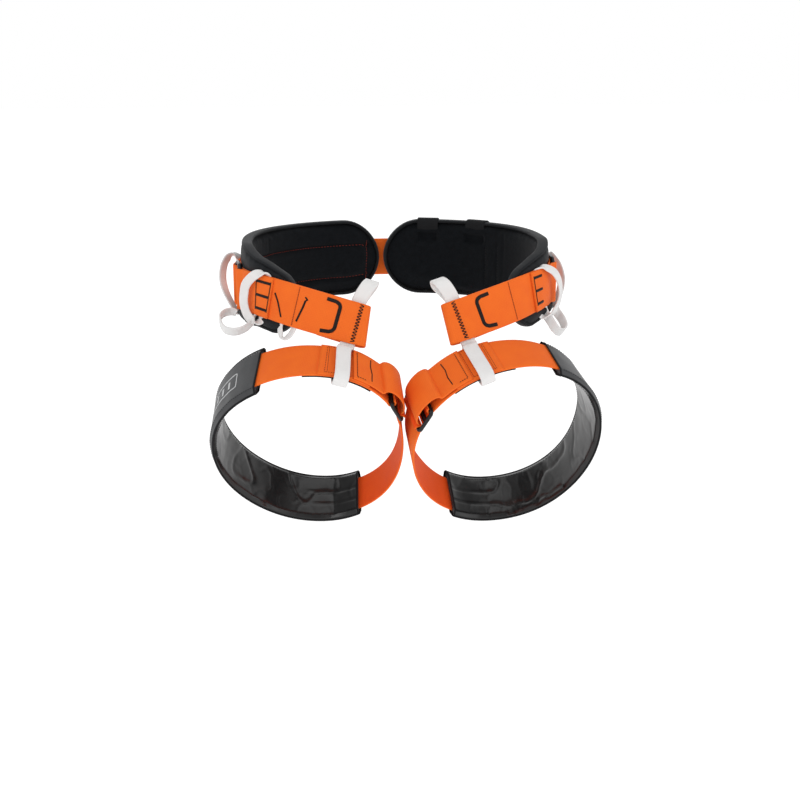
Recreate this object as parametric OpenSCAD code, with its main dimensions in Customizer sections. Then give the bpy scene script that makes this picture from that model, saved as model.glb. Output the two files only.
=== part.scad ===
// Sit harness: a padded waist belt with two tie-in eyes and two padded leg loops.
// +Z is up, +X is the wearer's left, and the belt's front ends face -Y.
// The origin is the centre of the belt ring, at half the height of its webbing.

/* [Waist belt] */
// Half the ring's width, to the middle of the webbing
waist_half_width = 177; // [150:1:205]
// Depth of the ring behind the origin
waist_back = 156; // [130:1:175]
// Depth of the ring in front of the origin
waist_front = 112.5; // [100:0.5:130]
// Squareness of the ring, 2 is an ellipse
waist_square = 2.16; // [2:0.02:2.4]
// How far the ring's sides sit in from a plain oval
waist_nip = 8; // [0:0.5:9]
// Angle from the back centre to each front end
front_end = 166.5; // [160:0.1:170]
// Angle at which the belt starts to drop to the front
drop_start = 118; // [110:1:125]
// Drop of the front ends
front_drop = 25.7; // [15:0.1:35]
// Outward lean of the lower edge at the front ends
front_lean = 27; // [0:1:30]
// Width of the waist and leg webbing
web_width = 44; // [40:0.5:46]
// Thickness of the webbing
web_thick = 2.2; // [1.6:0.1:2.4]

/* [Lumbar pads] */
// Angle of the pads' back ends
pad_back = 0.6; // [0.5:0.1:4]
// Angle of the pads' front tips
pad_front = 142; // [136:0.5:143]
// Height of a pad above the belt's centre line
pad_top = 46; // [40:1:50]
// Depth of a pad below the belt's centre line
pad_bottom = 43; // [36:1:44]
// Whole thickness of a pad
pad_thick = 11; // [9:0.5:13]

/* [Leg loops] */
// Half width of a leg loop
leg_half_width = 101; // [95:0.5:101]
// Half depth of a leg loop
leg_half_depth = 120.5; // [112:0.5:124]
// Squareness of a leg loop, 2 is an ellipse
leg_square = 2.06; // [2:0.02:2.2]
// Width of the padded sleeve
sleeve_width = 63; // [56:0.5:66]
// Angle of the sleeve's front end, from the outer side
sleeve_front = -59; // [-64:1:-54]
// Angle of the sleeve's back end
sleeve_back = 117; // [108:1:122]
// Angle of the leg buckle's bar
leg_buckle = -141; // [-144:0.5:-139]

/* [Tape] */
// Width of the tie-in tape
tape_width = 15.5; // [13:0.5:17]
// Thickness of the tie-in tape
tape_thick = 2.4; // [1.8:0.1:2.6]
// Height of the tie-in eye above the belt
eye_height = 27; // [20:1:32]
// Width of the gear-loop tape
loop_width = 10; // [8:0.5:12]
// Thickness of the gear-loop tape
loop_thick = 2; // [1.4:0.1:2.2]

/* [Hidden] */

$fn = 32;
webbing_orange = "darkorange";
gap = 0.25; // air between sewn layers
half_web = web_width / 2;
buckle_angle = 103; // where the front strap turns round the waist buckle's bar
bar_radius = 2.3;
turn_radius = bar_radius + gap + web_thick / 2; // webbing round a bar, to its middle
fold_gap = 2 * tape_thick + 2; // room for two strands of tape in the strap's folded end
tape_angle = 163.2; // where the tie-in tape crosses the belt

// Leg loop shapes: centre, tilt, yaw, roll, cone [mean, sin, cos, sin 2],
// warp [cos 2, sin 2], bulge [sin 2, cos 3, sin 3], tape angle
leg_left = [[104.5, -73, -157.7], 58.5, 4.5, -4.5, [-3, 1, -0.5, 7], [-6, -6], [3, 1.5, -4.5], -108];
leg_right = [[98, -63, -153.5], 55.5, 8, -1, [-3, 2, 2, -2.5], [2, -3], [0.5, 4.5, 0], -109];

function unit(v) = v / norm(v);
function signed_power(v, k) = sign(v) * pow(abs(v), k);
function lerp(a, b, t) = a + (b - a) * t;
function clamp01(t) = max(0, min(1, t));
function reverse(list) = [for (i = [len(list) - 1:-1:0]) list[i]];

// Belt ring. Each place is [point, height vector, outward vector].
function drop_share(a) = clamp01((abs(a) - drop_start) / (front_end - drop_start));
function waist_point(a) = let (k = 2 / waist_square, c = signed_power(cos(a), k))
    [waist_half_width * signed_power(sin(a), k) - waist_nip * signed_power(sin(a), 8),
        c * (c > 0 ? waist_back : waist_front),
        -front_drop * pow(drop_share(a), 1.6)];
function waist_place(a) = let (t = unit(waist_point(a + 0.5) - waist_point(a - 0.5)),
    w0 = unit([0, 0, 1] - t[2] * t), out = cross(w0, t), lean = front_lean * drop_share(a))
    [waist_point(a), w0 * cos(lean) - out * sin(lean), out * cos(lean) + w0 * sin(lean)];
// A point at angle a, height v and distance n outside the webbing's middle
function on_belt(a, v, n) = let (f = waist_place(a)) f[0] + f[1] * v + f[2] * n;
function belt_tangent(a) = unit(waist_point(a + 0.5) - waist_point(a - 0.5));

// Leg loop. Angle 0 is the outer side, 90 the back and -90 the front.
function leg_axes(leg) = let (tilt = leg[1], y = leg[2], r = leg[3],
    turn = [for (v = [[1, 0, 0], [0, cos(tilt), -sin(tilt)], [0, sin(tilt), cos(tilt)]])
        [v[0] * cos(r) + v[2] * sin(r), v[1], v[2] * cos(r) - v[0] * sin(r)]])
    [for (v = turn) [v[0] * cos(y) - v[1] * sin(y), v[0] * sin(y) + v[1] * cos(y), v[2]]];
function leg_point(leg, a) = let (k = 2 / leg_square, e = leg_axes(leg),
    out = cos(a) * e[0] + sin(a) * e[1],
    warp = leg[5][0] * cos(2 * a) + leg[5][1] * sin(2 * a),
    bulge = leg[6][0] * sin(2 * a) + leg[6][1] * cos(3 * a) + leg[6][2] * sin(3 * a))
    leg[0] + leg_half_width * signed_power(cos(a), k) * e[0]
        + leg_half_depth * signed_power(sin(a), k) * e[1] + warp * e[2] + bulge * out;
function leg_place(leg, a) = let (e = leg_axes(leg), out = cos(a) * e[0] + sin(a) * e[1],
    cone = leg[4][0] + leg[4][1] * sin(a) + leg[4][2] * cos(a) + leg[4][3] * sin(2 * a),
    w = e[2] * cos(cone) + out * sin(cone), t = unit(leg_point(leg, a + 0.5) - leg_point(leg, a - 0.5)),
    across = unit(w - (w * t) * t))
    [leg_point(leg, a), across, cross(t, across)];
function on_leg(leg, a, v, n) = let (f = leg_place(leg, a)) f[0] + f[1] * v + f[2] * n;

// Band along a list of places: from height lo to hi, and from n0 to n1 outward.
module band(places, lo, hi, n0, n1) {
    last = len(places) - 1;
    same_hand = cross(places[1][0] - places[0][0], places[0][1]) * places[0][2] > 0;
    top = same_hand ? n1 : n0;
    under = same_hand ? n0 : n1;
    rings = [for (i = [0:last]) let (p = places[i],
        l = is_list(lo) ? lo[i] : lo, h = is_list(hi) ? hi[i] : hi)
        each [p[0] + p[1] * h + p[2] * top, p[0] + p[1] * l + p[2] * top,
            p[0] + p[1] * l + p[2] * under, p[0] + p[1] * h + p[2] * under]];
    skin(rings, last, false);
}

// Tape whose middle runs through points, with its width along the given vectors.
module tape(points, across, width, thick, closed = false) {
    last = len(points) - 1;
    rings = [for (i = [0:last])
        let (before = points[closed ? (i + last) % (last + 1) : max(i - 1, 0)],
            after = points[closed ? (i + 1) % (last + 1) : min(i + 1, last)],
            t = unit(after - before), w = unit(across[i] - (across[i] * t) * t), n = cross(t, w))
        each [points[i] + w * width / 2 + n * thick / 2, points[i] - w * width / 2 + n * thick / 2,
            points[i] - w * width / 2 - n * thick / 2, points[i] + w * width / 2 - n * thick / 2]];
    skin(rings, last, closed);
}

module skin(rings, last, closed) {
    count = last + 1;
    steps = closed ? last : last - 1;
    sides = [for (i = [0:steps], k = [0:3]) let (a = 4 * i + k, b = 4 * i + (k + 1) % 4,
        c = 4 * ((i + 1) % count) + (k + 1) % 4, d = 4 * ((i + 1) % count) + k)
        each k == 2 ? [[a, d, b], [b, d, c]] : [[a, c, b], [a, d, c]]];
    ends = closed ? [] : [[0, 2, 3], [0, 1, 2], [4 * last, 4 * last + 2, 4 * last + 1],
        [4 * last, 4 * last + 3, 4 * last + 2]];
    polyhedron(points = rings, faces = concat(sides, ends), convexity = 6);
}

// Catmull-Rom curve through a few points, with steps points in each stretch
function smooth(p, steps) = let (last = len(p) - 1)
    concat([for (i = [0:last - 1], s = [0:steps - 1]) let (t = s / steps,
        a = p[max(i - 1, 0)], b = p[i], c = p[i + 1], d = p[min(i + 2, last)])
        0.5 * (2 * b + (c - a) * t + (2 * a - 5 * b + 4 * c - d) * t * t
            + (3 * b - a - 3 * c + d) * t * t * t)], [p[last]]);

// Places a child in a local frame: x along, y across, z outward
module at(origin, along, across, outward) {
    multmatrix([[along[0], across[0], outward[0], origin[0]],
        [along[1], across[1], outward[1], origin[1]],
        [along[2], across[2], outward[2], origin[2]], [0, 0, 0, 1]]) children();
}

module right_side() { mirror([1, 0, 0]) children(); }

// ---- Waist belt ----

// Fold of the rear webbing round the buckle's rear bar, with its sewn tail outside
rear_turn = buckle_angle - 11;
tail_lift = 2 * turn_radius;
function rear_end(side) = let (turn = rear_turn * side, t = belt_tangent(turn) * side,
    f = waist_place(turn), c = f[0] + f[2] * turn_radius)
    concat([for (a = [0:30:180]) c + turn_radius * (t * sin(a) - f[2] * cos(a))],
        [for (s = [6:6:30]) on_belt((rear_turn - s / 2.9) * side, 0, tail_lift)]);
rear_angles = [for (s = [0:1:44]) (rear_turn - 0.6) * (s / 22 - 1)];

module belt_webbing() {
    path = concat(reverse(rear_end(-1)), [for (a = rear_angles) waist_point(a)], rear_end(1));
    color(webbing_orange) tape(path, [for (p = path) [0, 0, 1]], web_width, web_thick);
}

// Outline of a lumbar pad: round back end, and a top edge that falls to the front tip
back_round = 13;
front_round = 9;
function end_round(a, inset) = let (b = clamp01((a - pad_back - inset / 3) / back_round),
    f = clamp01((pad_front - inset / 2.2 - a) / front_round))
    sqrt(max(0, 1 - pow(1 - b, 2))) * sqrt(max(0, 1 - pow(1 - f, 2)));
function pad_mid(a) = lerp(1.5, -7, clamp01((a - 100) / 42));
function pad_high(a, inset) = let (full = lerp(pad_top, 22, pow(clamp01((a - 96) / 46), 1.3)) - inset)
    pad_mid(a) + (full - pad_mid(a)) * end_round(a, inset);
function pad_low(a, inset) = let (full = lerp(pad_bottom, 35, clamp01((a - 70) / 60)) - inset)
    pad_mid(a) - (full + pad_mid(a)) * end_round(a, inset);
pad_skin = 1.4;
pad_face = -web_thick / 2 - 0.8; // outer face of the pads, inside the webbing
rim_width = 2.4;
rim_inset = rim_width + gap;
pad_steps = 40;
function pad_angle(i, inset) = let (t = i / pad_steps, lo = pad_back + inset / 3,
    hi = pad_front - inset / 2.2) lerp(lo, hi, (1 - cos(180 * t)) / 2);

module pad_layer(n0, n1) {
    angles = [for (i = [2:pad_steps - 2]) pad_angle(i, rim_inset)];
    band([for (a = angles) waist_place(a)], [for (a = angles) pad_low(a, rim_inset)],
        [for (a = angles) pad_high(a, rim_inset)], n0, n1);
}
module pad_rim() {
    upper = [for (i = [0:pad_steps]) pad_angle(i, rim_width / 2)];
    lower = [for (i = [pad_steps - 1:-1:1]) pad_angle(i, rim_width / 2)];
    middle = pad_face - pad_thick / 2;
    path = concat([for (a = upper) on_belt(a, pad_high(a, rim_width / 2), middle)],
        [for (a = lower) on_belt(a, pad_low(a, rim_width / 2), middle)]);
    tape(path, [for (a = concat(upper, lower)) waist_place(a)[2]], pad_thick, rim_width, true);
}
module lumbar_shell() { color("dimgray") pad_layer(pad_face - pad_skin, pad_face); }
module lumbar_foam() {
    color("gray") pad_layer(pad_face - pad_thick + pad_skin + gap, pad_face - pad_skin - gap);
}
module lumbar_liner() { color("black") pad_layer(pad_face - pad_thick, pad_face - pad_thick + pad_skin); }
module lumbar_binding() { color([0.2, 0.2, 0.2]) pad_rim(); }

// Black tape folded over the left pad's top edge, in two places
module tape_keepers() {
    for (a = [17, 38]) {
        outer = pad_face + 1.9;
        inner = pad_face - pad_thick - 1.9;
        reach = [[27, outer], [38, outer], [pad_top + 0.5, outer], [pad_top + 3, outer - 2.5],
            [pad_top + 3, inner + 2.5], [pad_top + 0.5, inner], [38, inner], [27, inner]];
        color("black") tape([for (p = reach) on_belt(a, p[0], p[1])],
            [for (p = reach) belt_tangent(a)], 26, 1.6);
    }
}

// Double-bar buckle: x runs along the strap, y across it, z outward
module buckle_frame(reach, inside) {
    for (x = [0, reach]) translate([x, 0, 0]) rotate([90, 0, 0])
        cylinder(r = bar_radius, h = inside + 2, center = true);
    for (y = [-1, 1]) translate([-3.4, y * (inside / 2 + 2) - 2, -1.6])
        cube([reach + 6.8, 4, 3.2]);
}
waist_reach = norm(on_belt(buckle_angle, 0, turn_radius) - on_belt(rear_turn, 0, turn_radius));
module at_waist_buckle() {
    f = waist_place(buckle_angle);
    g = waist_place(rear_turn);
    from = g[0] + g[2] * turn_radius;
    along = unit(f[0] + f[2] * turn_radius - from);
    at(from, along, [0, 0, 1], cross(along, [0, 0, 1])) mirror([0, 0, 1]) children();
}
module waist_buckle() { color([0.15, 0.15, 0.16]) at_waist_buckle() buckle_frame(waist_reach, web_width + 2.4); }
module waist_bar() {
    color("dimgray") at_waist_buckle() translate([waist_reach / 2 - 3, -half_web - 0.5, -1.2])
        cube([6, web_width + 1, 2.4]);
}

// Gear loops of white tape. Points are [angle, height, distance outside the belt].
module belt_loop(points) {
    path = smooth([for (p = points) on_belt(p[0], p[1], p[2])], 5);
    angles = smooth([for (p = points) [p[0], 0, 0]], 5);
    color("whitesmoke") tape(path, [for (a = angles) belt_tangent(a[0])], loop_width, loop_thick);
}
module gear_loop_rear() {
    belt_loop([[77, 20, 3.5], [77, 26, 6], [79, 26, 13], [84, 15, 20], [90, -4, 21], [96, -20, 15],
        [98, -27, 12], [98.5, -30, 7.8]]);
}
module gear_loop_front() {
    belt_loop([[124, 17, 7], [123.5, 24, 8.5], [121, 22, 13], [113, 10, 16], [109, -6, 16], [112, -22, 14],
        [118, -33, 10], [122, -33, 5.5]]);
}
module gear_loop_low() {
    belt_loop([[108, -27, 3.8], [106.5, -33, 10], [105.5, -40, 18], [106.5, -49, 21], [109, -55, 17],
        [112.5, -52, 9], [115, -43, 4], [116, -37, 2.5]]);
}
module tool_loop() {
    path = smooth([on_belt(138, -24, 3.2), on_belt(138.5, -32, 4), on_belt(141, -38, 4.6),
        on_belt(144, -34, 4), on_belt(145.5, -25, 3.2)], 5);
    color("whitesmoke") tape(path, [for (p = path) waist_place(141)[2]], 7, loop_thick);
}

// ---- Front straps ----

// One length of webbing: sewn fold at the buckle, face, and folded front end
strap_start = 127.5;
lining_end = 152;
module front_strap() {
    bar = waist_place(buckle_angle);
    t = belt_tangent(buckle_angle);
    c = bar[0] + bar[2] * turn_radius;
    tip = waist_place(front_end);
    tip_t = belt_tangent(front_end);
    tip_turn = (fold_gap + web_thick) / 2;
    tip_c = tip[0] - tip[2] * tip_turn;
    outer_angles = [strap_start:-2.5:106.5];
    face_angles = [for (i = [0:26]) lerp(buckle_angle + 1.3, front_end - 0.3, i / 26)];
    inner_angles = [for (i = [0:5]) lerp(front_end - 0.5, lining_end, i / 5)];
    path = concat([for (a = outer_angles) on_belt(a, 0, web_thick + gap)],
        [for (a = [210:-30:0]) c + turn_radius * (-t * sin(a) - bar[2] * cos(a))],
        [for (a = face_angles) waist_point(a)],
        [for (a = [30:30:150]) tip_c + tip_turn * (tip_t * sin(a) + tip[2] * cos(a))],
        [for (a = inner_angles) on_belt(a, 0, -2 * tip_turn)]);
    across = concat([for (a = outer_angles) waist_place(a)[1]], [for (a = [210:-30:0]) bar[1]],
        [for (a = face_angles) waist_place(a)[1]], [for (a = [30:30:150]) tip[1]],
        [for (a = inner_angles) waist_place(a)[1]]);
    color(webbing_orange) tape(path, across, web_width, web_thick);
}

// Tie-in tape: two strands inside the strap's folded end, the eye above, the sling below
strand_n = [-web_thick / 2 - 0.75 - tape_thick / 2, -web_thick / 2 - 1.1 - tape_thick * 1.5];
strand_mid = (strand_n[0] + strand_n[1]) / 2;
module tie_in_core() {
    for (n = strand_n) color("whitesmoke")
        tape([on_belt(tape_angle, 1.5 - half_web, n), on_belt(tape_angle, half_web - 1.5, n)],
            [for (i = [0, 1]) belt_tangent(tape_angle)], tape_width, tape_thick);
}
module tie_in_eye() {
    a = tape_angle;
    v = half_web;
    path = smooth([on_belt(a, v + 2, strand_n[0]), on_belt(a + 0.5, v + 9, strand_mid + 4.5),
        on_belt(a + 1.5, v + 18, strand_mid + 7.5), on_belt(a + 2.3, v + eye_height - 2, strand_mid + 5.5),
        on_belt(a + 2.5, v + eye_height, strand_mid), on_belt(a + 2.3, v + eye_height - 2, strand_mid - 5.5),
        on_belt(a + 1.5, v + 18, strand_mid - 7.5), on_belt(a + 0.5, v + 9, strand_mid - 4.5),
        on_belt(a, v + 2, strand_n[1])], 4);
    color("whitesmoke") tape(path, [for (p = path) belt_tangent(a)], tape_width, tape_thick);
}
// Lower bight round the leg band, as seen on the given leg
module leg_sling(leg) {
    a = leg[7];
    f = leg_place(leg, a);
    outside = web_thick / 2 + web_thick + 2.6 + tape_thick;
    inside = -web_thick / 2 - web_thick - 1.4 - tape_thick;
    start = on_belt(tape_angle, -half_web - 5, strand_n[0] + 1);
    path = smooth([start, lerp(start, f[0] + f[1] * 14 + f[2] * outside, 0.4) + f[2] * 2,
        f[0] + f[1] * 14 + f[2] * outside, f[0] - f[1] * 6 + f[2] * outside,
        f[0] - f[1] * (half_web - 1) + f[2] * outside, f[0] - f[1] * (half_web + 6.5) + f[2] * outside * 0.45,
        f[0] - f[1] * (half_web + 6.5) + f[2] * inside * 0.45,
        f[0] - f[1] * (half_web - 1) + f[2] * inside, f[0] - f[1] * 6 + f[2] * inside,
        f[0] + f[1] * 14 + f[2] * inside, f[0] + f[1] * (half_web + 1) + f[2] * (inside + 0.5),
        on_belt(tape_angle, -half_web - 5, strand_n[1])], 3);
    along = -unit(leg_point(leg, a + 1) - leg_point(leg, a - 1));
    color("whitesmoke") tape(path, [for (i = [0:len(path) - 1])
        lerp(belt_tangent(tape_angle), along, clamp01(min(i, len(path) - 1 - i) / 7))],
        tape_width, tape_thick);
}

// ---- Leg loops ----

leg_turn = leg_buckle - 9.5; // rear bar of the leg buckle
back_turn = 360 + leg_turn - 3;
function leg_across(leg) = unit(leg_place(leg, leg_buckle)[1] + leg_place(leg, back_turn)[1]);
module leg_webbing(leg) {
    front = leg_place(leg, leg_buckle);
    across_bar = leg_across(leg);
    along = unit(leg_point(leg, leg_buckle + 1) - leg_point(leg, leg_buckle - 1));
    rear = leg_place(leg, back_turn);
    rear_along = unit(leg_point(leg, back_turn + 1) - leg_point(leg, back_turn - 1));
    front_c = front[0] + front[2] * turn_radius;
    rear_c = rear[0] + rear[2] * turn_radius;
    face = [for (i = [0:84]) lerp(leg_buckle + 1.5, back_turn - 1.5, i / 84)];
    path = concat([for (a = [180:-30:0]) front_c + turn_radius * (-along * sin(a) - front[2] * cos(a))],
        [for (a = face) leg_point(leg, a)],
        [for (a = [0:30:180]) rear_c + turn_radius * (rear_along * sin(a) - rear[2] * cos(a))]);
    across = concat([for (a = [0:30:180]) across_bar], [for (a = face) leg_place(leg, a)[1]],
        [for (a = [0:30:180]) across_bar]);
    color(webbing_orange) tape(path, across, web_width, web_thick);
}
module leg_layer(leg, from, to, lo, hi, n0, n1, steps) {
    band([for (i = [0:steps]) leg_place(leg, lerp(from, to, i / steps))], lo, hi, n0, n1);
}
layer_out = web_thick / 2 + gap;
module band_backing(leg) {
    color("black") leg_layer(leg, -128, -86, -half_web - 2.5, half_web - 4, -layer_out - 1.8, -layer_out, 12);
}
module band_overlay(leg) {
    color("orangered") leg_layer(leg, -121, -97, -half_web, half_web - 2.5, layer_out, layer_out + 1.8, 8);
}
sleeve_out = layer_out + 1.3;
foam_in = -layer_out - 2.4;
sleeve_in = foam_in - gap - 1.3;
edge_width = 2;
half_layer = sleeve_width / 2 - edge_width - gap;
module sleeve_layer(leg, n0, n1) {
    leg_layer(leg, sleeve_front + 1.4, sleeve_back - 1.4, -half_layer, half_layer, n0, n1, 44);
}
module sleeve_cover(leg) { color("dimgray") sleeve_layer(leg, layer_out, sleeve_out); }
module sleeve_foam(leg) { color("gray") sleeve_layer(leg, foam_in, -layer_out); }
module sleeve_liner(leg) { color([0.08, 0.08, 0.09]) sleeve_layer(leg, sleeve_in, foam_in - gap); }
// Sewn edging along both long edges; the ends are bound outside and inside
module sleeve_binding(leg) {
    color("black") for (s = [-1, 1])
        leg_layer(leg, sleeve_front, sleeve_back, s > 0 ? sleeve_width / 2 - edge_width : -sleeve_width / 2,
            s > 0 ? sleeve_width / 2 : edge_width - sleeve_width / 2, sleeve_in, sleeve_out, 44);
    color("black") for (a = [[sleeve_front, sleeve_front + 1.1], [sleeve_back - 1.1, sleeve_back]])
        for (n = [[layer_out, sleeve_out], [sleeve_in, -layer_out]])
            leg_layer(leg, a[0], a[1], -half_layer, half_layer, n[0], n[1], 1);
}

// Leg buckle: x runs from the front bar to the rear bar
module at_leg_buckle(leg) {
    f = leg_place(leg, leg_buckle);
    g = leg_place(leg, back_turn);
    from = f[0] + f[2] * turn_radius;
    along = unit(g[0] + g[2] * turn_radius - from);
    across = unit(leg_across(leg) - (leg_across(leg) * along) * along);
    at(from, along, across, cross(along, across)) children();
}
function leg_reach(leg) = let (f = leg_place(leg, leg_buckle), g = leg_place(leg, back_turn))
    norm(f[0] + f[2] * turn_radius - g[0] - g[2] * turn_radius);
module leg_frame(leg) {
    color([0.12, 0.12, 0.13]) at_leg_buckle(leg) buckle_frame(leg_reach(leg), web_width + 2.4);
}
module leg_bar(leg) {
    color("dimgray") at_leg_buckle(leg) translate([leg_reach(leg) / 2 - 3, -half_web - 0.5, -1.2])
        cube([6, web_width + 1, 2.4]);
}
// Tail of the leg webbing, rolled back over the front bar
module leg_tail(leg) {
    shape = [[leg_buckle + 25, 4], [leg_buckle + 18, 4], [leg_buckle + 11.5, 4.4], [leg_buckle + 9.5, 9],
        [leg_buckle + 6, 12], [leg_buckle + 1, 13], [leg_buckle - 4, 11.6], [leg_buckle - 7.4, 8.2],
        [leg_buckle - 8.6, 5.8]];
    path = smooth([for (p = shape) on_leg(leg, p[0], 0, p[1] + 0.8)], 4);
    angles = smooth([for (p = shape) [p[0], 0, 0]], 4);
    color(webbing_orange) tape(path, [for (a = angles) leg_place(leg, a[0])[1]], web_width - 1, 1.8);
}
// Blank sewn patch on the right sleeve's outer face
module sleeve_label(leg) {
    color("lightgray") leg_layer(leg, -38, -8, -9, 9, sleeve_out + 0.15, sleeve_out + 0.75, 8);
}

belt_webbing();
lumbar_shell();  // lumbar_shell_left
right_side() lumbar_shell();  // lumbar_shell_right
lumbar_foam();  // lumbar_foam_left
right_side() lumbar_foam();  // lumbar_foam_right
lumbar_liner();  // lumbar_liner_left
right_side() lumbar_liner();  // lumbar_liner_right
lumbar_binding();  // lumbar_binding_left
right_side() lumbar_binding();  // lumbar_binding_right
tape_keepers();
waist_buckle();  // waist_buckle_left
right_side() waist_buckle();  // waist_buckle_right
waist_bar();  // waist_bar_left
right_side() waist_bar();  // waist_bar_right
gear_loop_rear();  // gear_loop_rear_left
right_side() gear_loop_rear();  // gear_loop_rear_right
gear_loop_low();  // gear_loop_low_left
right_side() gear_loop_low();  // gear_loop_low_right
front_strap();  // front_strap_left
right_side() front_strap();  // front_strap_right
tie_in_core();  // tie_in_core_left
right_side() tie_in_core();  // tie_in_core_right
tie_in_eye();  // tie_in_eye_left
right_side() tie_in_eye();  // tie_in_eye_right
gear_loop_front();  // gear_loop_front_left
right_side() gear_loop_front();  // gear_loop_front_right
right_side() tool_loop();  // tool_loop_right
leg_sling(leg_left);  // leg_sling_left
right_side() leg_sling(leg_right);  // leg_sling_right
leg_webbing(leg_left);  // leg_webbing_left
right_side() leg_webbing(leg_right);  // leg_webbing_right
band_backing(leg_left);  // band_backing_left
right_side() band_backing(leg_right);  // band_backing_right
band_overlay(leg_left);  // band_overlay_left
right_side() band_overlay(leg_right);  // band_overlay_right
sleeve_cover(leg_left);  // sleeve_cover_left
right_side() sleeve_cover(leg_right);  // sleeve_cover_right
sleeve_foam(leg_left);  // sleeve_foam_left
right_side() sleeve_foam(leg_right);  // sleeve_foam_right
sleeve_liner(leg_left);  // sleeve_liner_left
right_side() sleeve_liner(leg_right);  // sleeve_liner_right
sleeve_binding(leg_left);  // sleeve_binding_left
right_side() sleeve_binding(leg_right);  // sleeve_binding_right
leg_frame(leg_left);  // leg_buckle_left
right_side() leg_frame(leg_right);  // leg_buckle_right
leg_bar(leg_left);  // leg_bar_left
right_side() leg_bar(leg_right);  // leg_bar_right
leg_tail(leg_left);  // leg_tail_left
right_side() leg_tail(leg_right);  // leg_tail_right
right_side() sleeve_label(leg_right);  // label_right
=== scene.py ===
# Sit harness: the visible pieces and finishes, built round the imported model.
# Lengths in this file are millimetres; a piece is turned to metres when its mesh is made.
import math

import bpy
import bmesh
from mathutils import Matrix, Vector, noise


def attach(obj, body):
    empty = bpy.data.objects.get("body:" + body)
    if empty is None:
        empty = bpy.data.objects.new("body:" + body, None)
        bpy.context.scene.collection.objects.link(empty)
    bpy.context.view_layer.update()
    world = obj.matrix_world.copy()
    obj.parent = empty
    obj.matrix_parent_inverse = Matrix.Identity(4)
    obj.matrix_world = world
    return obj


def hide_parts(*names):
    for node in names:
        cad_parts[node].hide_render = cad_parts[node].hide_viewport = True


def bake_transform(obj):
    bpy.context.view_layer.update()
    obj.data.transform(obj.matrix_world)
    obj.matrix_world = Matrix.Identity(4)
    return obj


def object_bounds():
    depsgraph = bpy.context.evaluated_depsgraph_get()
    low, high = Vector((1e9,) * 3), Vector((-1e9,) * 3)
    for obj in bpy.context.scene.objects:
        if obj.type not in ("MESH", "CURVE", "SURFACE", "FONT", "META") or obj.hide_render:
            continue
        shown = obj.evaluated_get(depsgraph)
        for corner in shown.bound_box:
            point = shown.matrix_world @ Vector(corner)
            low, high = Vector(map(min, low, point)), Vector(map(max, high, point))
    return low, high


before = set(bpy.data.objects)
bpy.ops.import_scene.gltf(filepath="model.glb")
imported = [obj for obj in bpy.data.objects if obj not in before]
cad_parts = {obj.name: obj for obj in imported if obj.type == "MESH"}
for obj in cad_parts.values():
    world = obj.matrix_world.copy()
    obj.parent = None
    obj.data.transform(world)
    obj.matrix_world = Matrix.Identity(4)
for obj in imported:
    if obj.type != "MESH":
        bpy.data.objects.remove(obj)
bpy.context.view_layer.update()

MM = 0.001

# ---- The harness's own curves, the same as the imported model's ----

WAIST_HALF_WIDTH, WAIST_BACK, WAIST_FRONT, WAIST_SQUARE, WAIST_NIP = 177, 156, 112.5, 2.16, 8
FRONT_END, DROP_START, FRONT_DROP, FRONT_LEAN = 166.5, 118, 25.7, 27
WEB_WIDTH, WEB_THICK = 44, 2.2
HALF_WEB = WEB_WIDTH / 2
PAD_BACK, PAD_FRONT, PAD_TOP, PAD_BOTTOM, PAD_THICK = 0.6, 142, 46, 43, 11
PAD_FACE = -WEB_THICK / 2 - 0.8
LEG_HALF_WIDTH, LEG_HALF_DEPTH, LEG_SQUARE = 101, 120.5, 2.06
SLEEVE_WIDTH, SLEEVE_FRONT, SLEEVE_BACK, LEG_BUCKLE = 63, -59, 117, -141
TAPE_WIDTH, TAPE_THICK, EYE_HEIGHT, LOOP_WIDTH, LOOP_THICK = 15.5, 2.4, 27, 10, 2
GAP, BUCKLE_ANGLE, BAR_RADIUS, TAPE_ANGLE = 0.25, 103, 2.3, 163.2
TURN_RADIUS = BAR_RADIUS + GAP + WEB_THICK / 2
FOLD_GAP = 2 * TAPE_THICK + 2
REAR_TURN, LEG_TURN = BUCKLE_ANGLE - 11, LEG_BUCKLE - 9.5
BACK_TURN = 360 + LEG_TURN - 3
STRAND_OUT = -WEB_THICK / 2 - 0.75 - TAPE_THICK / 2
STRAND_IN = -WEB_THICK / 2 - 1.1 - TAPE_THICK * 1.5

# centre, tilt, yaw, roll, cone, warp, bulge, tape angle; rounded from a least-squares fit of the loop's curve
LEG_LEFT = ((104.5, -73, -157.7), 58.5, 4.5, -4.5, (-3, 1, -0.5, 7), (-6, -6), (3, 1.5, -4.5), -108)
LEG_RIGHT = ((98, -63, -153.5), 55.5, 8, -1, (-3, 2, 2, -2.5), (2, -3), (0.5, 4.5, 0), -109)
SIDES = (("left", 1, LEG_LEFT), ("right", -1, LEG_RIGHT))


def sind(a):
    return math.sin(math.radians(a))


def cosd(a):
    return math.cos(math.radians(a))


def lerp(a, b, t):
    return a + (b - a) * t


def clamp01(t):
    return max(0.0, min(1.0, t))


def ease(t):
    t = clamp01(t)
    return t * t * (3 - 2 * t)


def spread(a, b, steps):
    return [lerp(a, b, i / steps) for i in range(steps + 1)]


def signed_power(v, k):
    return math.copysign(abs(v) ** k, v)


def drop_share(a):
    return clamp01((abs(a) - DROP_START) / (FRONT_END - DROP_START))


def waist_point(a):
    k = 2 / WAIST_SQUARE
    c = signed_power(cosd(a), k)
    return Vector((WAIST_HALF_WIDTH * signed_power(sind(a), k) - WAIST_NIP * signed_power(sind(a), 8),
                   c * (WAIST_BACK if c > 0 else WAIST_FRONT),
                   -FRONT_DROP * drop_share(a) ** 1.6))


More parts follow.
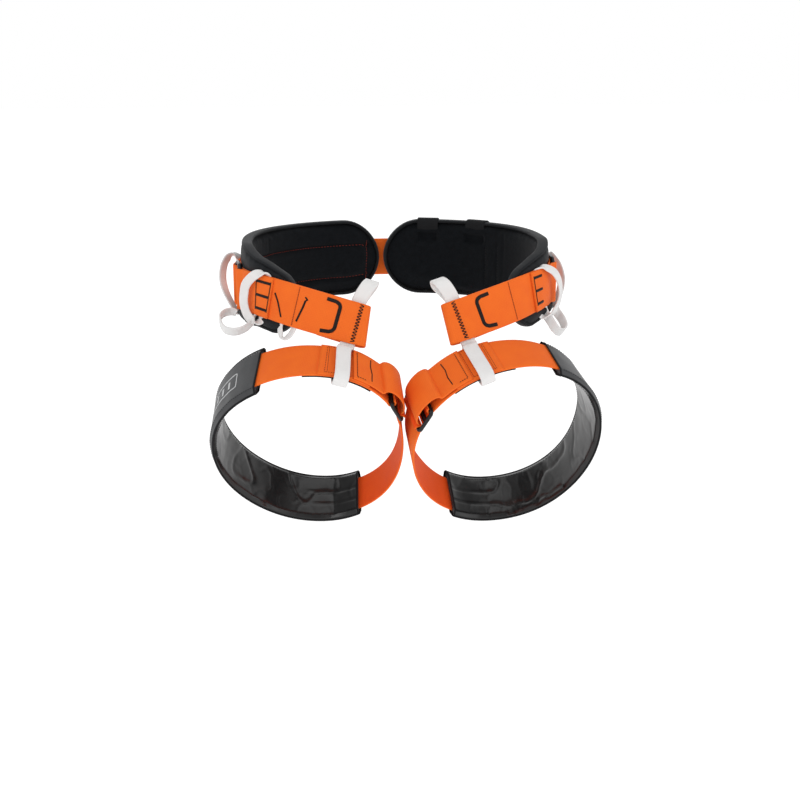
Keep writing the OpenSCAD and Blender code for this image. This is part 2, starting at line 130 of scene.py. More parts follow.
def belt_tangent(a):
    return (waist_point(a + 0.5) - waist_point(a - 0.5)).normalized()


def waist_place(a):
    """Point on the belt ring, with its height and outward directions."""
    t = belt_tangent(a)
    up = (Vector((0, 0, 1)) - t * t.z).normalized()
    out = up.cross(t)
    lean = FRONT_LEAN * drop_share(a)
    return waist_point(a), up * cosd(lean) - out * sind(lean), out * cosd(lean) + up * sind(lean)


def on_belt(a, v, n):
    p, up, out = waist_place(a)
    return p + up * v + out * n


def leg_axes(leg):
    tilt, yaw, roll = leg[1:4]
    axes = []
    for v in ((1, 0, 0), (0, cosd(tilt), -sind(tilt)), (0, sind(tilt), cosd(tilt))):
        v = (v[0] * cosd(roll) + v[2] * sind(roll), v[1], v[2] * cosd(roll) - v[0] * sind(roll))
        axes.append(Vector((v[0] * cosd(yaw) - v[1] * sind(yaw), v[0] * sind(yaw) + v[1] * cosd(yaw), v[2])))
    return axes


AXES = {leg: leg_axes(leg) for leg in (LEG_LEFT, LEG_RIGHT)}


def leg_point(leg, a):
    k = 2 / LEG_SQUARE
    e = AXES[leg]
    out = e[0] * cosd(a) + e[1] * sind(a)
    warp = leg[5][0] * cosd(2 * a) + leg[5][1] * sind(2 * a)
    bulge = leg[6][0] * sind(2 * a) + leg[6][1] * cosd(3 * a) + leg[6][2] * sind(3 * a)
    return (Vector(leg[0]) + e[0] * LEG_HALF_WIDTH * signed_power(cosd(a), k)
            + e[1] * LEG_HALF_DEPTH * signed_power(sind(a), k) + e[2] * warp + out * bulge)


def leg_place(leg, a):
    """Point on a leg loop, with its across and outward directions."""
    e = AXES[leg]
    out = e[0] * cosd(a) + e[1] * sind(a)
    c = leg[4]
    cone = c[0] + c[1] * sind(a) + c[2] * cosd(a) + c[3] * sind(2 * a)
    t = (leg_point(leg, a + 0.5) - leg_point(leg, a - 0.5)).normalized()
    w = e[2] * cosd(cone) + out * sind(cone)
    w = (w - t * w.dot(t)).normalized()
    return leg_point(leg, a), w, t.cross(w)


def on_leg(leg, a, v, n):
    p, w, out = leg_place(leg, a)
    return p + w * v + out * n


def smooth(points, steps):
    """Catmull-Rom curve through a few points."""
    last = len(points) - 1
    curve = []
    for i in range(last):
        a, b, c, d = (points[max(i - 1, 0)], points[i], points[i + 1], points[min(i + 2, last)])
        for s in range(steps):
            t = s / steps
            curve.append(0.5 * (2 * b + (c - a) * t + (2 * a - 5 * b + 4 * c - d) * t * t
                                + (3 * b - a - 3 * c + d) * t ** 3))
    return curve + [points[last]]


# ---- Nodes and finishes ----

def srgb(code):
    """sRGB hex to a linear colour."""
    parts = [int(code[i:i + 2], 16) / 255 for i in (0, 2, 4)]
    return [p / 12.92 if p <= 0.04045 else ((p + 0.055) / 1.055) ** 2.4 for p in parts] + [1.0]


def add(tree, kind, links=None, **settings):
    """Adds a node with its settings. links gives each input a socket to join or a value."""
    made = tree.nodes.new(kind)
    for key, value in settings.items():
        setattr(made, key, value)
    for key, value in (links or {}).items():
        if isinstance(value, bpy.types.NodeSocket):
            tree.links.new(value, made.inputs[key])
        else:
            made.inputs[key].default_value = value
    return made


def finish_of(name, build):
    """A new material whose nodes build(tree) makes; build returns the shader's socket values."""
    made = bpy.data.materials.new(name)
    made.use_nodes = True
    tree = made.node_tree
    tree.nodes.clear()
    shader = add(tree, "ShaderNodeBsdfPrincipled", build(tree))
    add(tree, "ShaderNodeOutputMaterial", {"Surface": shader.outputs[0]})
    made.diffuse_color = (0.5, 0.5, 0.5, 1)
    return made


WAVE_TURN = 2 * math.pi / 20  # a wave texture's period, in its own units, at scale 1


def weave_height(tree, place, pitch):
    """Plain weave: over-and-under threads a pitch apart, in the units of place."""
    warp = add(tree, "ShaderNodeTexWave", {"Vector": place, "Scale": WAVE_TURN / pitch}, bands_direction="Y")
    weft = add(tree, "ShaderNodeTexWave", {"Vector": place, "Scale": WAVE_TURN / pitch}, bands_direction="X")
    over = add(tree, "ShaderNodeTexChecker", {"Vector": place, "Scale": 1 / pitch, "Color1": (1, 1, 1, 1),
                                              "Color2": (0, 0, 0, 1)})
    return add(tree, "ShaderNodeMix", {0: over.outputs["Fac"], 2: warp.outputs["Fac"],
                                       3: weft.outputs["Fac"]}).outputs[0]


def tint(tree, factor, low, high):
    """Colour between two hex values by factor."""
    ramp = add(tree, "ShaderNodeValToRGB", {"Fac": factor})
    ramp.color_ramp.elements[0].color = srgb(low)
    ramp.color_ramp.elements[1].color = srgb(high)
    return ramp.outputs["Color"]


def patches(tree, size_mm, detail=3.0):
    """Slow uneven patches about size_mm across, as handled cloth has."""
    place = add(tree, "ShaderNodeTexCoord").outputs["Object"]
    return add(tree, "ShaderNodeTexNoise", {"Vector": place, "Scale": 1000 / size_mm,
                                            "Detail": detail}).outputs["Fac"]


def webbing_finish(name, low, high, pitch, roughness, sheen, depth=0.16):
    def build(tree):
        place = add(tree, "ShaderNodeUVMap", uv_map="strap").outputs["UV"]
        height = weave_height(tree, place, pitch)
        wear = patches(tree, 14)
        mixed = add(tree, "ShaderNodeMix", {0: 0.35, 2: wear, 3: height}).outputs[0]
        colour = tint(tree, mixed, low, high)
        bump = add(tree, "ShaderNodeBump", {"Height": height, "Strength": 0.6, "Distance": depth * MM})
        rough = add(tree, "ShaderNodeMapRange", {"Value": wear, 3: roughness - 0.06,
                                                 4: roughness + 0.06}).outputs[0]
        return {"Base Color": colour, "Roughness": rough, "Normal": bump.outputs[0], "IOR": 1.53,
                "Sheen Weight": sheen, "Sheen Roughness": 0.4, "Specular IOR Level": 0.2}
    return finish_of(name, build)


# Polyester webbing, woven tight and dyed bright: fine even threads with a soft satin shine.
# Real threads are 0.5 mm apart; they are drawn 1.7 mm apart so that they show.
orange_polyester_webbing = webbing_finish("orange_polyester_webbing", "E45E18", "F07220", 1.7, 0.7, 0.02)
# Painted shade: a darker, redder copy of the same webbing for its reverse face, which turns inward and away from
# the light
orange_webbing_painted_shade = webbing_finish("orange_webbing_painted_shade", "E2480E", "EE5814", 1.7, 0.75, 0.0)
# High-tenacity polyethylene tape: undyed, slick and a little translucent looking
white_polyethylene_tape = webbing_finish("white_polyethylene_tape", "D6D4D3", "E9E8E7", 1.3, 0.5, 0.05, 0.12)
# Polyamide tape, spun black: close flat weave
black_polyamide_tape = webbing_finish("black_polyamide_tape", "090A0B", "141518", 1.5, 0.78, 0.0)


def shell_cloth():
    """Texturised polyamide cloth: hard-wearing, matt, with a grainy plain weave."""
    def build(tree):
        place = add(tree, "ShaderNodeTexCoord").outputs["Object"]
        grain = add(tree, "ShaderNodeTexVoronoi", {"Vector": place, "Scale": 1000 / 1.6}).outputs["Distance"]
        colour = tint(tree, patches(tree, 9, 6.0), "0C0E11", "191C20")
        bump = add(tree, "ShaderNodeBump", {"Height": grain, "Strength": 0.5, "Distance": 0.15 * MM})
        return {"Base Color": colour, "Roughness": 0.8, "Normal": bump.outputs[0], "Sheen Weight": 0.08,
                "Sheen Roughness": 0.5, "IOR": 1.53, "Specular IOR Level": 0.2}
    return finish_of("texturised_polyamide_shell", build)


def lining_cloth():
    """Brushed warp-knit lining: soft, nearly black, with a short nap that catches light at its edges."""
    def build(tree):
        place = add(tree, "ShaderNodeTexCoord").outputs["Object"]
        stretched = add(tree, "ShaderNodeMapping", {"Vector": place, "Scale": (1, 1, 1.8)}).outputs[0]
        knit = add(tree, "ShaderNodeTexVoronoi", {"Vector": stretched, "Scale": 1000 / 2.0},
                   feature="SMOOTH_F1").outputs["Distance"]
        colour = tint(tree, patches(tree, 6, 8.0), "030507", "101317")
        bump = add(tree, "ShaderNodeBump", {"Height": knit, "Strength": 0.7, "Distance": 0.25 * MM})
        return {"Base Color": colour, "Roughness": 0.92, "Normal": bump.outputs[0], "Sheen Weight": 0.03,
                "Sheen Roughness": 0.6, "IOR": 1.5, "Specular IOR Level": 0.1}
    return finish_of("brushed_knit_lining", build)


def coated_fabric(name, low, high, roughness, coat, crease_depth, grain_depth):
    """PVC-coated polyester: a smooth skin over cloth, pressed into small soft creases."""
    def build(tree):
        place = add(tree, "ShaderNodeTexCoord").outputs["Object"]
        crease = add(tree, "ShaderNodeTexNoise", {"Vector": place, "Scale": 1000 / 40,
                                                  "Detail": 2.0}).outputs["Fac"]
        grain = add(tree, "ShaderNodeTexVoronoi", {"Vector": place, "Scale": 1000 / 1.5}).outputs["Distance"]
        soft = add(tree, "ShaderNodeBump", {"Height": crease, "Strength": 0.5, "Distance": crease_depth * MM})
        fine = add(tree, "ShaderNodeBump", {"Height": grain, "Strength": 0.4, "Distance": grain_depth * MM,
                                            "Normal": soft.outputs[0]})
        rough = add(tree, "ShaderNodeMapRange", {"Value": patches(tree, 12), 3: roughness - 0.05,
                                                 4: roughness + 0.08}).outputs[0]
        return {"Base Color": tint(tree, patches(tree, 18), low, high), "Roughness": rough,
                "Normal": fine.outputs[0],
                "Coat Weight": coat, "Coat Roughness": 0.22, "IOR": 1.5, "Specular IOR Level": 0.3}
    return finish_of(name, build)


def anodised_aluminium():
    """Forged aluminium, anodised black: satin, rubbed greyer in places."""
    def build(tree):
        rub = patches(tree, 5, 6.0)
        bump = add(tree, "ShaderNodeBump", {"Height": patches(tree, 1.2), "Strength": 0.2,
                                            "Distance": 0.05 * MM})
        return {"Base Color": tint(tree, rub, "121315", "2B2C2F"), "Roughness": 0.34, "Metallic": 0.55,
                "Normal": bump.outputs[0]}
    return finish_of("black_anodised_aluminium", build)


def thread_finish(name, low, high):
    """Bonded polyester thread: hard twisted, with a slight shine."""
    def build(tree):
        bump = add(tree, "ShaderNodeBump", {"Height": patches(tree, 0.8), "Strength": 0.5,
                                            "Distance": 0.08 * MM})
        return {"Base Color": tint(tree, patches(tree, 2.5), low, high), "Roughness": 0.55,
                "Normal": bump.outputs[0],
                "Sheen Weight": 0.02, "Sheen Roughness": 0.4, "Specular IOR Level": 0.25}
    return finish_of(name, build)


grey_print = thread_finish("grey_screen_print", "B4B5B6", "CCCDCE")
polyamide_shell = shell_cloth()
knit_lining = lining_cloth()
satin_pvc = coated_fabric("satin_pvc_cloth", "303133", "3E3F41", 0.46, 0.1, 1.2, 0.1)
glossy_pvc = coated_fabric("glossy_pvc_cloth", "050506", "0A0A0B", 0.3, 0.35, 3.2, 0.02)
black_aluminium = anodised_aluminium()
black_thread = thread_finish("black_polyester_thread", "0A0706", "1A1310")
rust_thread = thread_finish("rust_polyester_thread", "5A160A", "8A2A12")
grey_thread = thread_finish("grey_polyester_thread", "0B0C0D", "1A1B1D")


# ---- Making pieces ----

def piece(name, verts, faces, side, finishes, slots=None, uvs=None, smooth_faces=True):
    """A mesh piece from millimetre points; side -1 mirrors it to the wearer's right."""
    mesh = bpy.data.meshes.new(name)
    mesh.from_pydata([(v[0] * MM * side, v[1] * MM, v[2] * MM) for v in verts], [], faces)
    for finish in finishes:
        mesh.materials.append(finish)
    if slots:
        for polygon, index in zip(mesh.polygons, slots):
            polygon.material_index = index
    if uvs:
        layer = mesh.uv_layers.new(name="strap")
        for loop in mesh.loops:
            layer.data[loop.index].uv = uvs[loop.vertex_index]
    work = bmesh.new()
    work.from_mesh(mesh)
    bmesh.ops.recalc_face_normals(work, faces=work.faces)
    work.to_mesh(mesh)
    work.free()
    for polygon in mesh.polygons:
        polygon.use_smooth = smooth_faces
    made = bpy.data.objects.new(name, mesh)
    bpy.context.scene.collection.objects.link(made)
    return made


def loft(rings, closed):
    """Faces between rings of equal length, with flat ends where the row is open."""
    count, size = len(rings), len(rings[0])
    verts = [p for ring in rings for p in ring]
    faces = []
    for i in range(count if closed else count - 1):
        a, b = i * size, (i + 1) % count * size
        faces += [(a + k, a + (k + 1) % size, b + (k + 1) % size, b + k) for k in range(size)]
    if not closed:
        faces += [tuple(range(size)), tuple(reversed(range((count - 1) * size, count * size)))]
    return verts, faces


def ribbon(name, path, across, width, thick, side=1, columns=8, closed=False, shape=None, finishes=None):
    """Woven strap along path with rolled selvedges. shape(u, v) lifts its faces, in mm.
    Its map runs in millimetres along and across, so the weave follows the strap."""
    # By default the underside faces take the second finish, a painted-shade copy of the orange webbing, darker and
    # redder
    finishes = finishes or [orange_polyester_webbing, orange_webbing_painted_shade]
    last = len(path) - 1
    r = thick / 2
    rings, uvs, along = [], [], 0.0
    for i, p in enumerate(path):
        before = path[i - 1] if i or closed else p
        after = path[(i + 1) % (last + 1)] if i < last or closed else p
        t = (after - before).normalized()
        w = (across[i] - t * across[i].dot(t)).normalized()
        n = t.cross(w)
        wide = width[i] if isinstance(width, list) else width
        if i:
            along += (p - path[i - 1]).length
        outline = [(lerp(r - wide / 2, wide / 2 - r, j / columns), r) for j in range(columns + 1)]
        outline += [(wide / 2 - r + r * cosd(d), r * sind(d)) for d in (45, 0, -45)]
        outline += [(lerp(wide / 2 - r, r - wide / 2, j / columns), -r) for j in range(columns + 1)]
        outline += [(r - wide / 2 - r * cosd(d), r * sind(d)) for d in (-45, 0, 45)]
        rings.append([p + w * v + n * (h + (shape(along, v) if shape else 0)) for v, h in outline])
        uvs += [(along, v) for v, h in outline]
    verts, faces = loft(rings, closed)
    size = len(rings[0])
    steps = len(path) if closed else last
    slots = [(1 if columns + 3 < k % size <= 2 * columns + 4 else 0) if len(finishes) > 1 else 0
             for k in range(steps * size)] + [0, 0]
    return piece(name, verts, faces, side, finishes, slots[:len(faces)], uvs)


def threads(name, runs, radius, side, finish):
    """Separate raised stitches. runs holds (start, end, outward) for each."""
    verts, faces = [], []
    for start, end, out in runs:
        along = end - start
        if along.length < 1e-6:
            continue
        w = along.cross(out).normalized() * radius
        h = out.normalized() * radius
        base = len(verts)
        verts.append(start - h)
        for t in (0.18, 0.5, 0.82):
            p = start + along * t + h * (0.25 if t == 0.5 else 0)
            verts += [p + w * cosd(d) + h * sind(d) for d in range(0, 360, 60)]
        verts.append(end - h)
        for k in range(6):
            m = (k + 1) % 6
            faces.append((base, base + 1 + m, base + 1 + k))
            for row in (1, 7):
                faces.append((base + row + k, base + row + m, base + row + 6 + m, base + row + 6 + k))
            faces.append((base + 13 + k, base + 13 + m, base + 19))
    return piece(name, verts, faces, side, [finish])


def trace(surface, points, pitch):
    """Even points along straight lines between (angle, height) points on a surface, with outward directions."""
    spots = []
    for (a0, v0), (a1, v1) in zip(points, points[1:]):
        length = (surface(a1, v1, 0) - surface(a0, v0, 0)).length
        count = max(1, round(length / pitch))
        for i in range(count):
            a, v = lerp(a0, a1, i / count), lerp(v0, v1, i / count)
            spots.append((surface(a, v, 0), surface(a, v, 1) - surface(a, v, 0)))
    a, v = points[-1]
    return spots + [(surface(a, v, 0), surface(a, v, 1) - surface(a, v, 0))]


def running(surface, points, pitch=2.6, fill=0.72):
    """A line of stitches."""
    spots = trace(surface, points, pitch)
    return [(p, p + (q - p) * fill, n) for (p, n), (q, m) in zip(spots, spots[1:])]


def satin(surface, points, width, pitch=0.62):
    """A bartack: close threads straight across the line."""
    spots = trace(surface, points, pitch)
    runs = []
    for i, (p, n) in enumerate(spots):
        a, b = spots[max(i - 1, 0)][0], spots[min(i + 1, len(spots) - 1)][0]
        across = n.cross(b - a).normalized() * width / 2
        runs.append((p - across, p + across, n))
    return runs


def zigzag(surface, start, end, swing, pitch):
    """Zigzag stitches between two (angle, height) points; swing is half the width in degrees."""
    count = round((surface(*end, 0) - surface(*start, 0)).length / pitch)
    points = [(lerp(start[0], end[0], i / count) + (swing if i % 2 else -swing), lerp(start[1], end[1],
                                                            i / count))
              for i in range(count + 1)]
    spots = [(surface(a, v, 0), surface(a, v, 1) - surface(a, v, 0)) for a, v in points]
    return [(lerp(p, q, 0.08), lerp(p, q, 0.92), n) for (p, n), (q, m) in zip(spots, spots[1:])]


def box_stitch(surface, a0, a1, v0, v1):
    return running(surface, [(a0, v0), (a1, v0), (a1, v1), (a0, v1), (a0, v0)])


def finish_piece(made, body, nodes=()):
    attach(made, body)
    if nodes:
        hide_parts(*nodes)
    return made


# ---- Waist belt ----

def arc_turn(centre, start, finish, begin, end, step=15):
    """Points round a bar: start is the direction at 0 degrees, finish at 90."""
    count = max(1, round(abs(end - begin) / step))
    return [centre + (start * cosd(d) + finish * sind(d)) * TURN_RADIUS for d in spread(begin, end, count)]


def rear_end(side):
    turn = REAR_TURN * side
    t = belt_tangent(turn) * side
    p, up, out = waist_place(turn)
    c = p + out * TURN_RADIUS
    return (arc_turn(c, -out, t, 0, 180) + [on_belt((REAR_TURN - s / 2.9) * side, 0,
                                                    2 * TURN_RADIUS - ease((s - 4) / 24) * 4.6)
                                            for s in range(4, 44, 3)])


rear_path = (list(reversed(rear_end(-1))) + [waist_point(a) for a in spread(0.6 - REAR_TURN, REAR_TURN - 0.6,
                                                            180)]
             + rear_end(1))
belt = ribbon("rear_webbing", rear_path, [Vector((0, 0, 1))] * len(rear_path), WEB_WIDTH, WEB_THICK, 1, 12)
finish_piece(belt, "belt", ["belt_webbing"])


def rear_top(a, v, n):
    return on_belt(a, v, 2 * TURN_RADIUS - 4.6 + WEB_THICK / 2 + 0.1 + n)


BACK_ROUND, FRONT_ROUND = 13, 9


def end_round(a, inset):
    b = clamp01((a - PAD_BACK - inset / 3) / BACK_ROUND)
    f = clamp01((PAD_FRONT - inset / 2.2 - a) / FRONT_ROUND)
    return math.sqrt(max(0, 1 - (1 - b) ** 2)) * math.sqrt(max(0, 1 - (1 - f) ** 2))


def pad_mid(a):
    return lerp(1.5, -7, clamp01((a - 100) / 42))


def pad_high(a, inset=0.0):
    full = lerp(PAD_TOP, 22, clamp01((a - 96) / 46) ** 1.3) - inset
    return pad_mid(a) + (full - pad_mid(a)) * end_round(a, inset)


def pad_low(a, inset=0.0):
    full = lerp(PAD_BOTTOM, 35, clamp01((a - 70) / 60)) - inset
    return pad_mid(a) - (full + pad_mid(a)) * end_round(a, inset)


def pad_angle(t, inset):
    return lerp(PAD_BACK + inset / 3, PAD_FRONT - inset / 2.2, (1 - cosd(180 * t)) / 2)


BELT_TABLE = [(a, waist_point(a)) for a in range(-2, 148, 2)]


def belt_coords(p):
    """Angle, height and outward distance of a point near the left half of the belt."""
    a = min(BELT_TABLE, key=lambda row: (row[1].x - p.x) ** 2 + (row[1].y - p.y) ** 2)[0]
    for _ in range(2):
        step = waist_point(a + 0.5) - waist_point(a - 0.5)
        a += (p - waist_point(a)).dot(step) / step.length_squared
    q, up, out = waist_place(a)
    return a, (p - q).dot(up), (p - q).dot(out)


def bell(x, width):
    return math.exp(-(x / width) ** 2)


PAD_EDGE = 0.5  # how far the body of a pad stays inside its rim
CHANNELS = (17, -22)  # heights of the sewn channels on the right pad
SLOTS = ((17.5, 4.6), (39.5, 5.6))  # angle and half width of the left pad's keeper slots


def pad_inside(side, a, v):
    """How far a pad's inner face is pressed back, or swells, at a place on it."""
    room = min(1.0, (pad_high(a) - v) / 12, (v - pad_low(a)) / 12)
    swell = 1.6 * math.sqrt(clamp01(room))
    swell += 0.5 * noise.noise(Vector((a / 9, v / 22, 3.0 * side)))
    if side < 0:
        fade = ease((138 - a) / 10)
        press = sum(3.4 * bell(v - c, 2.4) for c in CHANNELS) * fade
        press += 1.8 * bell((a - 4.8) * 2.9, 2.0) * ease((30 - abs(v + 8)) / 8)
    else:
        press = sum(4.4 * ease((half - abs(a - at)) / 1.0) * ease((6.5 - abs(v - 26.5)) / 3) for at,
                    half in SLOTS)
        press += sum(0.9 * bell((a - at) * 2.7, 2.2) * ease((32 - abs(v + 2)) / 14) for at in (46, 53.5))
        press += 0.7 * bell(v + 30, 2.6) * ease((6 - abs(a - 18.5)) / 3)
    return swell - press


def pad_body(name, side):
    """Foam pad: outer shell and lining over one closed core."""
    rings = []
    columns, rows, arc = 88, 22, 4
    thick = PAD_THICK - 1.2
    for i in range(1, columns):
        a = pad_angle(i / columns, PAD_EDGE)
        lo, hi = pad_low(a, PAD_EDGE), pad_high(a, PAD_EDGE)
        r = min(thick / 2, max((hi - lo) / 2 - 0.2, 0.2))
        ring = [on_belt(a, lerp(lo + r, hi - r, j / rows), PAD_FACE - 0.3) for j in range(rows + 1)]
        middle = PAD_FACE - 0.3 - thick / 2
        ring += [on_belt(a, hi - r + r * sind(d), middle + thick / 2 * cosd(d)) for d in spread(36, 144,
                                                            arc - 1)]
        ring += [on_belt(a, lerp(hi - r, lo + r, j / rows), PAD_FACE - 0.3 - thick) for j in range(rows + 1)]
        ring += [on_belt(a, lo + r - r * sind(d), middle - thick / 2 * cosd(d)) for d in spread(36, 144,
                                                            arc - 1)]
        rings.append(ring)
    verts, faces = loft(rings, False)
    return piece(name, verts, faces, side, [polyamide_shell, knit_lining])


def applied(made):
    """Turns a piece's modifiers into its mesh."""
    bpy.context.view_layer.update()
    mesh = bpy.data.meshes.new_from_object(made.evaluated_get(bpy.context.evaluated_depsgraph_get()))
    made.modifiers.clear()
    made.data = mesh


def even(made, voxel):
    mod = made.modifiers.new("even", "REMESH")
    mod.mode, mod.voxel_size = "VOXEL", voxel * MM
    applied(made)


def simulate(pieces, pressure, cap, frames=20):
    """Swells padded pieces with cloth under pressure; no point moves more than cap."""
    rest = {}
    for made in pieces:
        rest[made] = [v.co.copy() for v in made.data.vertices]
        cloth = made.modifiers.new("cloth", "CLOTH")
        cloth.settings.use_pressure = True
        cloth.settings.uniform_pressure_force = pressure
        cloth.settings.effector_weights.gravity = 0
        cloth.settings.quality = 5
        cloth.point_cache.frame_end = frames
    for step in range(1, frames + 1):
        bpy.context.scene.frame_set(step)
    for made in pieces:
        applied(made)
        for vertex, start in zip(made.data.vertices, rest[made]):
            move = vertex.co - start
            if move.length > cap * MM:
                vertex.co = start + move.normalized() * cap * MM
    bpy.context.scene.frame_set(1)


def divide(made):
    mod = made.modifiers.new("divide", "SUBSURF")
    mod.levels = mod.render_levels = 1
    applied(made)


def shape_pad(made, side):
    """Sewn channels and slots on the inner face, and the webbing's press on the outer one."""
    for vertex in made.data.vertices:
        p = Vector((vertex.co.x * side, vertex.co.y, vertex.co.z)) / MM
        a, v, n = belt_coords(p)
        out = waist_place(a)[2]
        depth = PAD_FACE - 0.3 - PAD_THICK / 2
        if n < depth:
            p -= out * pad_inside(side, a, v) * ease((depth - n) / 3.5)
        else:
            under = ease((HALF_WEB + 3 - abs(v)) / 3)
            swell = lerp(1.5, 5.5, ease((a - 80) / 16)) if v < 0 else 1.5
            free = swell * math.sqrt(clamp01(min(pad_high(a) - v, v - pad_low(a)) / 9)) * ease((124 - a) / 12)
            p += out * (lerp(free, min(0, PAD_FACE - 0.15 - n), under)) * ease((n - depth) / 3)
        vertex.co = Vector((p.x * side, p.y, p.z)) * MM
    for polygon in made.data.polygons:
        q = Vector((polygon.center.x * side, polygon.center.y, polygon.center.z)) / MM
        a, v, n = belt_coords(q)
        inner = n < PAD_FACE - PAD_THICK / 2 - 1.0
        polygon.material_index = 1 if inner else 0
        polygon.use_smooth = True


pads = {}
for word, side, leg in SIDES:
    pads[side] = pad_body(f"lumbar_pad_{word}", side)
    even(pads[side], 4.5)
simulate(list(pads.values()), 4.0, 2.2)
for word, side, leg in SIDES:
    divide(pads[side])
    shape_pad(pads[side], side)
    finish_piece(pads[side], "belt",
                 [f"lumbar_{layer}_{word}" for layer in ("shell", "foam", "liner")])


def settle(runs, made, side, lift):
    """Lays stitches on a piece's real surface, lift proud of it."""
    laid = []
    for start, end, out in runs:
        ends = []
        for p in (start, end):
            world = Vector((p.x * side, p.y, p.z)) * MM
            _, near, normal, index = made.closest_point_on_mesh(world)
            near = Vector((near.x * side, near.y, near.z)) / MM
            normal = Vector((normal.x * side, normal.y, normal.z))
            ends.append(near + normal * lift)
        laid.append((ends[0], ends[1], normal))
    return laid


def tube(name, path, radius, side, finish, body, closed=True):
    """Thin round piping along path."""
    rings = []
    last = len(path) - 1
    for i, p in enumerate(path):
        t = (path[(i + 1) % (last + 1)] - path[i - 1]).normalized()
        w = t.cross(Vector((0.3, 0.5, 0.8))).normalized()
        n = t.cross(w)
        rings.append([p + (w * cosd(d) + n * sind(d)) * radius for d in range(0, 360, 60)])
    verts, faces = loft(rings, closed)
    made = piece(name, verts, faces, side, [finish])
    return finish_piece(made, body)


for word, side, leg in SIDES:
    def outline(inset, n):
        upper = [pad_angle(i / 70, inset) for i in range(71)]
        return ([on_belt(a, pad_high(a, inset), n) for a in upper]
                + [on_belt(a, pad_low(a, inset),
                           n) for a in reversed(upper[1:-1])], upper + list(reversed(upper[1:-1])))
    path, angles = outline(1.5, PAD_FACE - PAD_THICK / 2)
    width = PAD_THICK + 0.4
    rim = ribbon(f"lumbar_rim_{word}", path, [waist_place(a)[2] for a in angles], width, 2.4, side, 8, True,
                 lambda u, v: 0.7 * (1 - (2 * v / width) ** 2), [polyamide_shell])
    finish_piece(rim, "belt", [f"lumbar_binding_{word}"])
    for tag, n in (("inner", PAD_FACE - PAD_THICK + 0.1), ("outer", PAD_FACE - 0.3)):
        tube(f"lumbar_piping_{tag}_{word}", outline(2.4, n)[0], 0.6, side, black_polyamide_tape, "belt")

deep = -PAD_THICK - 3


def pad_face_at(a, v, n):
    return on_belt(a, v, deep - n)


seams = [r for c in CHANNELS for r in running(pad_face_at, [(6, c), (60, c), (132, c)], 3.4)]
seams += running(pad_face_at, [(4.8, 22), (4.8, -36)], 3.4)
finish_piece(threads("lumbar_stitching_right", settle(seams, pads[-1], -1, 0.1), 0.32, -1, rust_thread),
             "belt")
seams = [r for a in (46, 53.5) for r in running(pad_face_at, [(a, 20), (a, -30)], 3.4)]
finish_piece(threads("lumbar_stitching_left", settle(seams, pads[1], 1, 0.1), 0.3, 1, grey_thread), "belt")

# Two keepers of black tape folded over the left pad's top edge
for tag, a in (("rear", SLOTS[0][0]), ("front", SLOTS[1][0])):
    outer, inner = PAD_FACE + 1.5, PAD_FACE - PAD_THICK - 1.2
    reach = smooth([Vector(p) for p in ((22, outer - 0.4, 0), (34, outer, 0), (PAD_TOP - 2, outer, 0),
                                        (PAD_TOP + 0.9, outer - 2.6, 0),
                                        (PAD_TOP + 1.5, (outer + inner) / 2, 0), (PAD_TOP + 0.9, inner + 2.6,
                                                            0),
                                        (PAD_TOP - 3, inner, 0), (38, inner - 0.2, 0), (33, inner + 1.2,
                                                            0))], 5)
    keeper = ribbon(f"tape_keeper_{tag}", [on_belt(a, p.x, p.y) for p in reach],
                    [belt_tangent(a)] * len(reach),
                    25, 1.2, 1, 8, finishes=[black_polyamide_tape])
    finish_piece(keeper, "belt", ["tape_keepers"] if tag == "rear" else ())

# ---- Buckles ----


def ring_frame(name, place, reach, inside, side, body, node):
    """Forged frame: a rounded rectangle of rounded bar. place is (origin, along, across, outward)."""
    origin, along, across, outward = place
    corner, half = 3.6, inside / 2 + 2
    path = []
    for cx, cy, start in ((reach - corner, half - corner, 0), (corner, half - corner, 90),
                          (corner, corner - half, 180), (reach - corner, corner - half, 270)):
        for d in range(start, start + 91, 15):
            path.append((cx + corner * cosd(d), cy + corner * sind(d), cosd(d), sind(d)))
    rings = []
    for x, y, nx, ny in path:
        flat = abs(ny)
        wide, high = lerp(2.3, 2.2, flat), lerp(2.3, 2.1, flat)
        rings.append([origin + along * (x + nx * wide * cosd(d)) + across * (y + ny * wide * cosd(d)) + outward * high * sind(d)
                      for d in range(0, 360, 30)])
    verts, faces = loft(rings, True)
    made = piece(name, verts, faces, side, [black_aluminium])
    return finish_piece(made, body, [node])


def grip_bar(name, place, reach, side, body, node):
    """Sliding bar with small teeth across it."""
    origin, along, across, outward = place
    rings = []
    count = 56
    for i in range(count + 1):
        y = lerp(-HALF_WEB - 1.6, HALF_WEB + 1.6, i / count)
        tooth = 0.35 if i % 2 else 0.0
        rings.append([origin + along * (reach / 2 + x) + across * y + outward * (z + (tooth if z > 0 else 0))
                      for x, z in ((3, 0.5), (2.3, 1.15), (-2.3, 1.15), (-3, 0.5), (-3, -0.5), (-2.3, -1.15),
                                   (2.3, -1.15), (3, -0.5))])
    verts, faces = loft(rings, False)
    made = piece(name, verts, faces, side, [black_aluminium], smooth_faces=False)
    return finish_piece(made, body, [node])


def waist_buckle_place():
    f, g = waist_place(BUCKLE_ANGLE), waist_place(REAR_TURN)
    start, end = g[0] + g[2] * TURN_RADIUS, f[0] + f[2] * TURN_RADIUS
    along = (end - start).normalized()
    up = Vector((0, 0, 1))
    return (start, along, up, up.cross(along)), (end - start).length


def leg_across(leg):
    return (leg_place(leg, LEG_BUCKLE)[1] + leg_place(leg, BACK_TURN)[1]).normalized()


def leg_buckle_place(leg):
    f, g = leg_place(leg, LEG_BUCKLE), leg_place(leg, BACK_TURN)
    start, end = f[0] + f[2] * TURN_RADIUS, g[0] + g[2] * TURN_RADIUS
    along = (end - start).normalized()
    across = leg_across(leg)
    across = (across - along * across.dot(along)).normalized()
    return (start, along, across, along.cross(across)), (end - start).length


